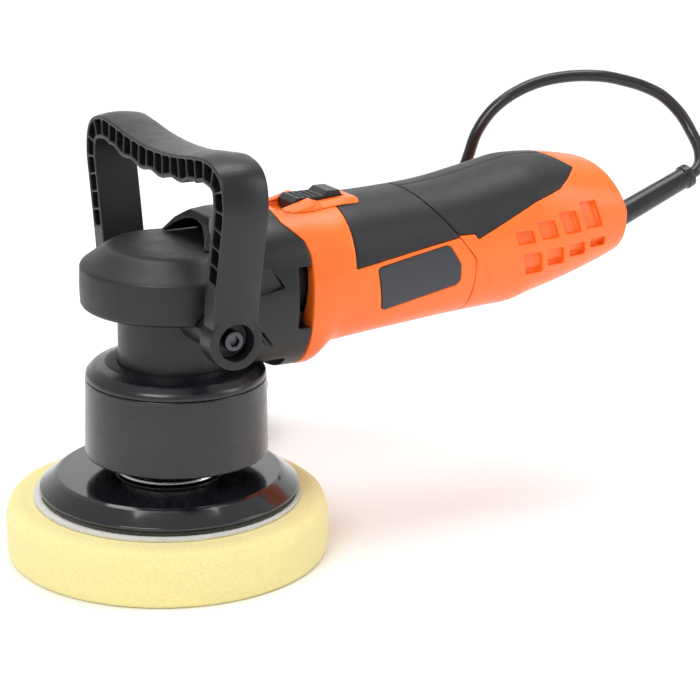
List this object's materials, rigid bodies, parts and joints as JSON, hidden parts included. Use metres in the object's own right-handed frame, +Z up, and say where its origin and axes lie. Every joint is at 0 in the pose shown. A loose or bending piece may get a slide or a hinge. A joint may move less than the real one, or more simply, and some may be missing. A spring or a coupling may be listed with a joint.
{
  "type": "dual-action polisher",
  "caption": "Corded car polisher: round foam pad under a shrouded gear head with a bolted D-handle, orange motor body with a black soft grip, and a lead coiled behind.",
  "frame": {"origin": "on the foam pad's working face, on the spindle axis, at the level the pad stands on", "axes": "+Z up along the spindle, +X back along the motor to the cord exit, +Y to the tool's left as seen by the user behind it"},
  "size_m": [0.4027, 0.2704, 0.2074],
  "materials": {
    "foam": "open-cell foam",
    "loop_cloth": "brushed loop cloth",
    "hook_cloth": "hook tape",
    "plate_gloss": "gloss",
    "steel": "turned steel",
    "alloy": "die cast",
    "gear_case_black": "black powder coat over die casting",
    "rubber_black": "soft matt",
    "plastic_black": "fine texture",
    "plastic_orange": "satin",
    "plastic_dark": "satin",
    "copper": "enamelled copper wire",
    "brass": "pressed brass",
    "carbon": "carbon",
    "circuit_green": "circuit board",
    "pvc_black": "satin sheath",
    "counterweight_iron": "as cast"
  },
  "bodies": {
    "housing": {"lower_spindle_bearing": "steel", "upper_spindle_bearing": "steel", "bearing_retainer": "steel", "gear_case": "gear_case_black", "head_cover": "rubber_black", "shroud_skirt": "plastic_black", "shroud_cap": "plastic_black", "d_handle": "plastic_black", "handle_screw_right": "steel", "handle_screw_left": "steel", "adapter_housing": "gear_case_black", "front_armature_bearing": "steel", "bearing_flange": "alloy", "rear_armature_bearing": "steel", "rear_bearing_plate": "plastic_black", "stator_core": "steel", "field_coil_upper": "copper", "field_coil_lower": "copper", "brush_holder_right": "brass", "brush_holder_left": "brass", "carbon_brush_right": "carbon", "carbon_brush_left": "carbon", "motor_housing": "plastic_orange", "motor_grip": "rubber_black", "label_plate_right": "plastic_dark", "label_plate_left": "plastic_dark", "switch_surround": "plastic_orange", "rear_shell_right": "plastic_orange", "rear_shell_left": "plastic_orange", "rear_grip_right": "rubber_black", "rear_grip_left": "rubber_black", "speed_module": "circuit_green", "power_switch": "plastic_dark", "cable_clamp": "plastic_black", "strain_relief": "pvc_black", "cord": "pvc_black", "cord_coil": "pvc_black", "coil_tie": "plastic_black", "mains_plug": "pvc_black"},
    "eccentric": {"pad_bearing": "steel", "eccentric_hub": "steel", "counterweight": "counterweight_iron", "spindle": "steel", "ring_gear": "steel"},
    "pad": {"foam_pad": "foam", "loop_layer": "loop_cloth", "hook_layer": "hook_cloth", "backing_plate": "plate_gloss", "plate_hub": "steel", "pad_shaft": "steel", "pad_shaft_nut": "steel"},
    "armature": {"armature_shaft": "steel", "pinion": "steel", "fan": "plastic_black", "rotor_core": "steel", "rotor_winding_front": "copper", "rotor_winding_rear": "copper", "commutator": "copper"},
    "switch": {"switch_slider": "plastic_black"},
    "dial": {"speed_dial": "plastic_black"}
  },
  "joints": [
    {"name": "spindle_spin", "type": "hinge", "parent": "housing", "child": "eccentric", "pos_m": [0, 0, 0.1], "axis": [0, 0, 1], "continuous": true},
    {"name": "pad_spin", "type": "hinge", "parent": "eccentric", "child": "pad", "pos_m": [-0.004, 0, 0.05], "axis": [0, 0, 1], "continuous": true},
    {"name": "armature_spin", "type": "hinge", "parent": "housing", "child": "armature", "pos_m": [0.08, 0, 0.1315], "axis": [1, 0, 0], "continuous": true},
    {"name": "switch_slide", "type": "slide", "parent": "housing", "child": "switch", "axis": [-1, 0, 0], "range_m": [0, 0.007]},
    {"name": "speed_dial_turn", "type": "hinge", "parent": "housing", "child": "dial", "pos_m": [0.23, 0, 0.151], "axis": [0, 0, 1], "range_deg": [0, 300]}
  ],
  "couplings": [
    {"joint": "armature_spin", "follows": "spindle_spin", "ratio": 4.1111}
  ]
}
